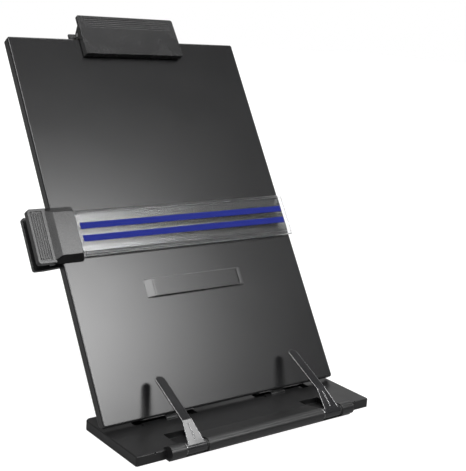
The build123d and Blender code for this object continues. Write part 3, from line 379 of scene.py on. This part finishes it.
# ---------------------------------------------------------------------- settings
class FinishSettings(bpy.types.PropertyGroup):
    """Colours and finish sizes of the copy holder."""

    stand_colour: FloatVectorProperty(
        name="Stand", description="Colour of the moulded stand and rail", subtype="COLOR",
        size=3, min=0.0, max=1.0, default=(0.008, 0.008, 0.0083))
    paint_colour: FloatVectorProperty(
        name="Plate paint", description="Colour of the painted back plate", subtype="COLOR",
        size=3, min=0.0, max=1.0, default=(0.009, 0.009, 0.0095))
    clip_colour: FloatVectorProperty(
        name="Clip", description="Colour of the top clip and its housing", subtype="COLOR",
        size=3, min=0.0, max=1.0, default=(0.012, 0.012, 0.0125))
    guide_colour: FloatVectorProperty(
        name="Guide", description="Colour of the guide's two jaws", subtype="COLOR",
        size=3, min=0.0, max=1.0, default=(0.012, 0.012, 0.0125))
    arm_colour: FloatVectorProperty(
        name="Page arms", description="Colour of the page arms' paint", subtype="COLOR",
        size=3, min=0.0, max=1.0, default=(0.014, 0.014, 0.015))
    ink_colour: FloatVectorProperty(
        name="Stripes", description="Ink of the ruler's two stripes", subtype="COLOR",
        size=3, min=0.0, max=1.0, default=(0.011, 0.018, 0.17))
    lean: FloatProperty(
        name="Lean", description="Lean of the back plate at rest, from upright",
        subtype="ANGLE", unit="ROTATION", min=0.0, max=1.5, default=np.radians(32.8))
    edge_radius: FloatProperty(
        name="Edge radius", description="Radius that light finds on moulded edges",
        subtype="DISTANCE", unit="LENGTH", min=0.0, max=0.003, default=0.0005)


class StudioSettings(bpy.types.PropertyGroup):
    """Light, floor and camera."""

    softbox: FloatProperty(
        name="Softbox", description="Brightness that the softboxes scale", min=0.0, max=40.0,
        default=10.0)
    fill: FloatProperty(
        name="Fill", description="Brightness of the even fill light", min=0.0, max=4.0,
        default=0.09)
    floor_size: FloatProperty(
        name="Floor", description="Side of the square floor", subtype="DISTANCE",
        unit="LENGTH", min=1.0, max=40.0, default=12.0)
    lens: FloatProperty(
        name="Lens", description="Focal length for a 36 mm high frame", subtype="DISTANCE_CAMERA",
        min=10.0, max=300.0, default=75.61)


# --------------------------------------------------------------------- operators
class COPYHOLDER_OT_stand(bpy.types.Operator):
    """Grained black plastic for the stand, the front rail, its end caps and the washers"""

    bl_idname = "copyholder.stand"
    bl_label = "Finish Stand"

    def execute(self, context):
        chosen = context.scene.copyholder_finish
        stand = moulded_plastic("stand_plastic", chosen.stand_colour, roughness=0.34,
                                grain=0.0005, edge=chosen.edge_radius, edge_wear_and_highlight=0.03, dust=0.02,
                                level=0.42)
        stand.dress("base_body")
        rail = moulded_plastic("rail_plastic", chosen.stand_colour, roughness=0.31,
                               edge=chosen.edge_radius, edge_wear_and_highlight=0.05, level=0.65)
        rail.dress("front_rail", "nose_cap_left", "nose_cap_right", "arm_washers")
        return {"FINISHED"}


class COPYHOLDER_OT_plate(bpy.types.Operator):
    """Satin black paint on folded sheet steel, worn a little bright along its folds"""

    bl_idname = "copyholder.plate"
    bl_label = "Finish Back Plate"

    def execute(self, context):
        colour = context.scene.copyholder_finish.paint_colour
        made = Finish("plate_paint")
        w = made.wires
        edges = made.effect("rounded_edges", Radius=0.0008)
        peel = made.effect("moulded_grain", Grain=0.0012)
        touch = made.effect("handling", Patch=0.08)["Mask"]
        dusty = made.effect("settled_dust")["Mask"]
        speckled = w.mix(peel["Tone"], shade(colour, 0.92), shade(colour, 1.08))
        paint = w.mix(w.math("MULTIPLY", dusty, 0.04), speckled, DUST_ON_PAINT)
        bare = w.math("MULTIPLY", edges["Edge"], 0.6)
        made.set("Base Color", w.mix(bare, paint, BARE_STEEL))
        made.set("Metallic", bare)
        made.set("Roughness", w.ramp(touch, 0.0, 1.0, 0.215, 0.2))
        made.set("Specular IOR Level", 0.5)
        made.bump(peel["Height"], 0.000003, edges["Normal"])
        made.dress("back_plate", "strut_saddles")
        return {"FINISHED"}


class COPYHOLDER_OT_clip(bpy.types.Operator):
    """Satin black plastic for the top clip's lever and housing"""

    bl_idname = "copyholder.clip"
    bl_label = "Finish Top Clip"

    def execute(self, context):
        chosen = context.scene.copyholder_finish
        made = moulded_plastic("clip_plastic", chosen.clip_colour, roughness=0.25,
                               edge=chosen.edge_radius, edge_wear_and_highlight=0.09)
        made.dress("clip_lever", "clip_housing")
        return {"FINISHED"}


class COPYHOLDER_OT_guide(bpy.types.Operator):
    """Polished black plastic for the sliding guide's two jaws"""

    bl_idname = "copyholder.guide"
    bl_label = "Finish Line Guide"

    def execute(self, context):
        chosen = context.scene.copyholder_finish
        made = moulded_plastic("guide_plastic", chosen.guide_colour, roughness=0.21,
                               grain=0.0003, grain_depth=0.0000015, edge=chosen.edge_radius,
                               edge_wear_and_highlight=0.04, level=0.42)
        made.dress("guide_front_jaw", "guide_rear_jaw")
        return {"FINISHED"}


class COPYHOLDER_OT_ruler(bpy.types.Operator):
    """Clear moulded ruler with two printed stripes"""

    bl_idname = "copyholder.ruler"
    bl_label = "Finish Ruler"

    def execute(self, context):
        self.clear_plastic()
        self.ink(context.scene.copyholder_finish.ink_colour)
        return {"FINISHED"}

    def clear_plastic(self):
        """Ruler: clear, a little frosted, duller along its edges, with painted shade there as a
        grey tint.
        """
        made = Finish("clear_plastic")
        w = made.wires
        touch = made.effect("handling", Patch=0.03)["Mask"]
        edges = made.effect("rounded_edges", Radius=0.0009)
        # Painted shade: a grey tint along the edges stands in for the dark outline that refraction
        # gives clear plastic's edges.
        made.set("Base Color", w.mix(edges["Edge"], (0.95, 0.955, 0.96, 1.0),
                                     (0.42, 0.42, 0.43, 1.0)))
        smooth = w.ramp(touch, 0.0, 1.0, 0.14, 0.15)
        made.set("Roughness", w.math("ADD", smooth, w.math("MULTIPLY", edges["Edge"], 0.35)))
        made.set("IOR", 1.43)
        made.set("Transmission Weight", 1.0)
        made.set("Normal", edges["Normal"])
        made.dress("line_ruler")

    def ink(self, colour):
        """Stripes: matt ink with a fine print grain."""
        made = Finish("stripe_ink")
        w = made.wires
        grains = made.effect("moulded_grain", Grain=0.00035)
        made.set("Base Color", w.mix(grains["Tone"], shade(colour, 0.9), shade(colour, 1.1)))
        made.set("Roughness", w.ramp(grains["Tone"], 0.0, 1.0, 0.5, 0.56))
        made.set("Specular IOR Level", 0.08)
        made.bump(grains["Height"], 0.000005)
        made.dress("ruler_stripes")


class COPYHOLDER_OT_arms(bpy.types.Operator):
    """Gloss black paint for the two page arms, worn bright along the sheet's edges"""

    bl_idname = "copyholder.arms"
    bl_label = "Finish Page Arms"

    def execute(self, context):
        colour = context.scene.copyholder_finish.arm_colour
        made = Finish("arm_steel")
        w = made.wires
        edges = made.effect("rounded_edges", Radius=0.0008)
        peel = made.effect("moulded_grain", Grain=0.002)
        touch = made.effect("handling", Patch=0.02)["Mask"]
        paint = w.mix(w.math("MULTIPLY", touch, 0.5), shade(colour), shade(colour, 1.3))
        made.set("Base Color", w.mix(edges["Edge"], paint, BARE_STEEL))
        made.set("Metallic", edges["Edge"])
        made.set("Roughness", w.ramp(touch, 0.0, 1.0, 0.13, 0.18))
        made.bump(peel["Height"], 0.000004, edges["Normal"])
        made.dress("page_arm_left", "page_arm_right")
        return {"FINISHED"}


class COPYHOLDER_OT_fixings(bpy.types.Operator):
    """Zinc and spring steel for pins, rod, rivets, springs and the strut"""

    bl_idname = "copyholder.fixings"
    bl_label = "Finish Metal Fixings"

    def execute(self, context):
        pins = drawn_metal("pin_steel", (0.62, 0.62, 0.63), 0.28, (60.0, 900.0, 900.0))
        pins.dress("arm_rod", "hinge_pins", "rail_screws", "ruler_screws", "clip_rivets",
                   "clip_pin", "guide_pin")
        springs = drawn_metal("spring_steel", (0.50, 0.49, 0.47), 0.3, (400.0, 400.0, 400.0))
        springs.dress("clip_spring", "guide_spring")
        strut = drawn_metal("strut_steel", (0.55, 0.55, 0.56), 0.3, (500.0, 60.0, 60.0))
        strut.dress("strut_wire")
        return {"FINISHED"}


class COPYHOLDER_OT_rubber(bpy.types.Operator):
    """Matt rubber feet with ringed soles, and the ribbed grip on the clip's lip"""

    bl_idname = "copyholder.rubber"
    bl_label = "Make Rubber"

    def execute(self, context):
        chosen = context.scene.copyholder_finish
        finish = moulded_plastic("foot_rubber", (0.025, 0.025, 0.025), roughness=0.75,
                                 grain=0.0006, grain_depth=0.00004, edge=0.0002, level=0.3)
        new_piece("ringed_feet", self.feet(), "base", "rubber_feet", finish)
        new_piece("grip_strip", self.grip(chosen.lean), "clip", "clip_pad", finish)
        return {"FINISHED"}

    def feet(self):
        """Sole: r runs out from the axis to R, and its height is a dish less three rings,
        rise times sin(3 pi r / R) squared; then a rim, a rounded corner, the wall and a flat
        top."""
        low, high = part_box("rubber_feet")
        top = high[2] - low[2]
        r = np.linspace(0.0, SOLE_R, 28)
        sole = SOLE_DISH - SOLE_RING_RISE * np.sin(SOLE_RINGS * np.pi * r / SOLE_R) ** 2
        turn = np.linspace(-0.5 * np.pi, 0.0, 7)
        corner_r = FOOT_R - FOOT_CORNER_R + FOOT_CORNER_R * np.cos(turn)
        corner_z = FOOT_CORNER_R + FOOT_CORNER_R * np.sin(turn)
        wall_r = (FOOT_R, FOOT_R - FOOT_TOP_BEVEL, FOOT_TOP_R, 0.0)
        wall_z = (top - FOOT_TOP_BEVEL, top, top, top)
        radii = np.concatenate((r, SOLE_RIM[:1], corner_r, wall_r))
        heights = np.concatenate((sole, SOLE_RIM[1:], corner_z, wall_z))
        return turned([(x, y, low[2]) for x, y in FEET], radii, heights)

    def grip(self, lean):
        """Strip along the lip, with ribs towards the plate."""
        low, high = (np.array(corner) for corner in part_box("clip_pad"))
        across = np.array((0.0, np.sin(lean), np.cos(lean)))
        outward = np.array((0.0, -np.cos(lean), np.sin(lean)))
        size = (high[0] - low[0], GRIP_WIDTH, GRIP_THICKNESS)
        return ribbed_strip((low + high) / 2, np.array((1.0, 0.0, 0.0)), across, outward,
                            size, ribs=3, notches=20, depth=GRIP_RIB_DEPTH)


class COPYHOLDER_OT_studio(bpy.types.Operator):
    """Pale floor, soft studio light and the camera"""

    bl_idname = "copyholder.studio"
    bl_label = "Set Up Studio"

    def execute(self, context):
        studio = context.scene.copyholder_studio
        half = studio.floor_size / 2
        mesh = bpy.data.meshes.new("studio_floor")
        corners = [(-half, -half, 0), (half, -half, 0), (half, half, 0), (-half, half, 0)]
        mesh.from_pydata(corners, [], [(0, 1, 2, 3)])
        floor = bpy.data.objects.new("studio_floor", mesh)
        context.scene.collection.objects.link(floor)
        mesh.materials.append(self.paper())
        self.sky(context.scene, studio)
        self.camera(context.scene, studio)
        context.scene.view_settings.view_transform = "Standard"
        return {"FINISHED"}

    def paper(self):
        """Floor: a pale matt sheet, lifted to white where the camera sees it in full light."""
        material = bpy.data.materials.new("studio_paper")
        material.use_nodes = True
        w = Wiring(material.node_tree)
        w.tree.nodes.clear()
        place = w.add("TexCoord").outputs["Object"]
        fibre = w.add("TexNoise", place, Scale=300.0, Detail=2.0)
        tone = w.mix(fibre.outputs[0], *(shade((level,) * 3) for level in FLOOR_TONES))
        matt = w.add("BsdfDiffuse", tone)
        path = w.add("LightPath").outputs
        seen = w.math("MAXIMUM", path["Is Camera Ray"], path["Is Transmission Ray"])
        lift = w.add("Emission", WHITE, w.math("MULTIPLY", seen, FLOOR_LIFT))
        both = w.add("AddShader", matt.outputs[0], lift.outputs[0])
        w.add("OutputMaterial", both.outputs[0])
        return material

    def softbox(self, w, ray, azimuth, elevation, width, height, soft, level):
        """Brightness of a softbox far away: a rectangle in the plane that faces the object,
        x = ray.right / ray.forward and y = ray.up / ray.forward, with soft sides."""
        a, e = np.radians(azimuth), np.radians(elevation)
        forward = (float(np.sin(a) * np.cos(e)), float(-np.cos(a) * np.cos(e)), float(np.sin(e)))
        right = (float(np.cos(a)), float(np.sin(a)), 0.0)
        up = tuple(float(c) for c in np.cross(right, forward))
        ahead = w.dot(ray, forward)
        depth = w.math("MAXIMUM", ahead, 0.001)
        fade = float(np.tan(np.radians(soft / 2)))
        sides = []
        for axis, size in ((right, width), (up, height)):
            off = w.math("ABSOLUTE", w.math("DIVIDE", w.dot(ray, axis), depth))
            reach = float(np.tan(np.radians(size / 2)))
            sides.append(w.ramp(off, reach + fade, reach - fade))
        shape = w.math("MULTIPLY", sides[0], sides[1])
        front = w.math("GREATER_THAN", ahead, 0.01)
        return w.math("MULTIPLY", w.math("MULTIPLY", shape, front), level)

    def sky(self, scene, studio):
        """Light: even fill with softboxes. The camera sees plain white instead, and so do
        rays through clear plastic near the horizon."""
        world = bpy.data.worlds.new("studio_light")
        world.use_nodes = True
        scene.world = world
        w = Wiring(world.node_tree)
        w.tree.nodes.clear()
        ray = w.add("TexCoord").outputs["Generated"]
        up = w.add("SeparateXYZ", ray).outputs[2]
        total = w.ramp(up, -0.1, 1.0, studio.fill, studio.fill * FILL_OVERHEAD)
        for box in SOFTBOXES:
            total = w.math("ADD", total, self.softbox(w, ray, *box[:-1],
                                                      box[-1] * studio.softbox))
        path = w.add("LightPath").outputs
        through = w.math("MULTIPLY", path["Is Transmission Ray"], w.ramp(up, 0.45, 0.1))
        seen = w.math("MAXIMUM", path["Is Camera Ray"], through)
        level = w.add("Mix", data_type="FLOAT")
        w.put(level.inputs[0], seen)
        w.put(level.inputs[2], total)
        w.put(level.inputs[3], 1.0)
        light = w.add("Background", WHITE, level.outputs[0])
        w.add("OutputWorld", light.outputs[0])

    def camera(self, scene, studio):
        """Camera where the photograph was taken from."""
        lens = bpy.data.cameras.new("studio_camera")
        lens.sensor_fit = "VERTICAL"
        lens.sensor_height = CAMERA_FRAME_MM
        lens.lens = studio.lens
        lens.clip_end = 50.0
        seat = bpy.data.objects.new("studio_camera", lens)
        right, down, forward = CAMERA_TURN
        turn = Matrix((right, tuple(-c for c in down), tuple(-c for c in forward))).transposed()
        seat.matrix_world = Matrix.Translation(CAMERA_PLACE) @ turn.to_4x4()
        scene.collection.objects.link(seat)
        scene.camera = seat


OPERATORS = (COPYHOLDER_OT_stand, COPYHOLDER_OT_plate, COPYHOLDER_OT_clip,
             COPYHOLDER_OT_guide, COPYHOLDER_OT_ruler, COPYHOLDER_OT_arms,
             COPYHOLDER_OT_fixings, COPYHOLDER_OT_rubber, COPYHOLDER_OT_studio)


class COPYHOLDER_PT_panel(bpy.types.Panel):
    """Steps that dress the copy holder, with their sizes and colours"""

    bl_idname = "COPYHOLDER_PT_panel"
    bl_label = "Copy Holder"
    bl_space_type = "VIEW_3D"
    bl_region_type = "UI"
    bl_category = "Copy Holder"

    def draw(self, context):
        for group in (context.scene.copyholder_finish, context.scene.copyholder_studio):
            box = self.layout.box()
            for key in group.bl_rna.properties.keys():
                if key not in {"rna_type", "name"}:
                    box.prop(group, key)
        for step in OPERATORS:
            self.layout.operator(step.bl_idname)


CLASSES = (FinishSettings, StudioSettings, *OPERATORS, COPYHOLDER_PT_panel)


def register():
    """Registers the classes and the two groups of settings."""
    for made in CLASSES:
        bpy.utils.register_class(made)
    bpy.types.Scene.copyholder_finish = PointerProperty(type=FinishSettings)
    bpy.types.Scene.copyholder_studio = PointerProperty(type=StudioSettings)


def unregister():
    """Takes back what register added."""
    del bpy.types.Scene.copyholder_studio
    del bpy.types.Scene.copyholder_finish
    for made in reversed(CLASSES):
        bpy.utils.unregister_class(made)


def main():
    """Runs every step in order."""
    register()
    for step in OPERATORS:
        family, name = step.bl_idname.split(".")
        getattr(getattr(bpy.ops, family), name)()


if __name__ == "__main__":
    main()
